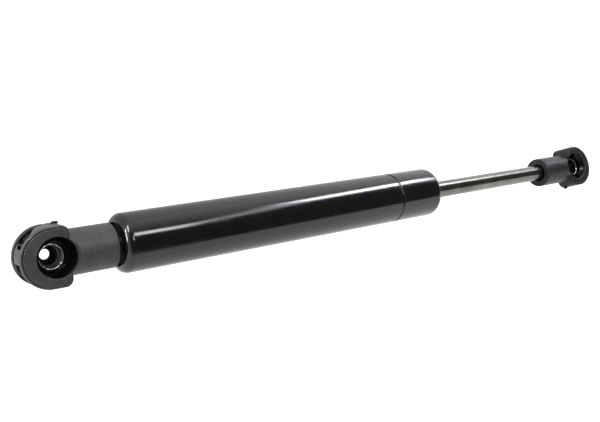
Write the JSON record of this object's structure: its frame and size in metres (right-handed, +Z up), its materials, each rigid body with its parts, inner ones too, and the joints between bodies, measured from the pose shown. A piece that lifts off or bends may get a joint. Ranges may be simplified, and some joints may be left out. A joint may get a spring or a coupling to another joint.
{
  "type": "gas strut stay",
  "caption": "Gas spring with a thick black pressure tube, a slim steel rod, and a moulded ball socket with a wire clip on each end; it holds a hinged window, shutter or flap open.",
  "frame": {"origin": "centre of the ball that the tube-end socket takes", "axes": "+X along the strut from the tube end to the rod end, -Y out of the tube-end socket's mouth, +Z up"},
  "size_m": [0.4025, 0.028, 0.0301],
  "materials": {
    "black_paint": "gloss black powder paint",
    "black_nylon": "fine-grained glass-filled nylon, black",
    "nitrided_steel": "ground, nitrided and polished dark grey",
    "zinc_plated_steel": "turned or pressed, zinc plated",
    "cup_steel": "pressed steel, greased",
    "spring_steel": "drawn spring wire",
    "nitrile_rubber": "moulded black",
    "bronze": "turned or pressed",
    "aluminium": "turned",
    "white_acetal": "turned or moulded"
  },
  "bodies": {
    "tube": {"pressure_tube": "black_paint", "base_plug": "black_paint", "base_plug_seal": "nitrile_rubber", "tube_end_stud": "zinc_plated_steel", "seal_support_washer": "zinc_plated_steel", "rod_seal": "nitrile_rubber", "rod_guide": "white_acetal", "guide_seal": "nitrile_rubber", "guide_bush": "bronze", "guide_cap": "zinc_plated_steel", "rod_wiper": "nitrile_rubber", "tube_end_socket": "black_nylon", "tube_end_ball_cup": "cup_steel"},
    "tube_end_clip": {"tube_end_clip": "spring_steel"},
    "piston_ring": {"piston_ring": "white_acetal"},
    "rod": {"piston_rod": "nitrided_steel", "extension_stop_washer": "zinc_plated_steel", "piston_support_washer": "zinc_plated_steel", "piston": "aluminium", "metering_disc": "bronze", "disc_backing_washer": "zinc_plated_steel", "piston_nut": "zinc_plated_steel", "rod_end_socket": "black_nylon", "rod_end_ball_cup": "cup_steel"},
    "rod_end_clip": {"rod_end_clip": "spring_steel"}
  },
  "joints": [
    {"name": "rod_slide", "type": "slide", "parent": "tube", "child": "piston_ring", "axis": [-1, 0, 0], "range_m": [0, 0.1], "stiffness_N_per_m": 600, "springref_m": -0.25},
    {"name": "rod_spin", "type": "hinge", "parent": "piston_ring", "child": "rod", "pos_m": [0.2, 0, 0], "axis": [1, 0, 0], "continuous": true},
    {"name": "tube_end_clip_slide", "type": "slide", "parent": "tube", "child": "tube_end_clip", "axis": [-1, 0, 0], "range_m": [0, 0.002], "stiffness_N_per_m": 800, "springref_m": -0.002},
    {"name": "rod_end_clip_slide", "type": "slide", "parent": "rod", "child": "rod_end_clip", "axis": [1, 0, 0], "range_m": [0, 0.002], "stiffness_N_per_m": 800, "springref_m": -0.002}
  ]
}
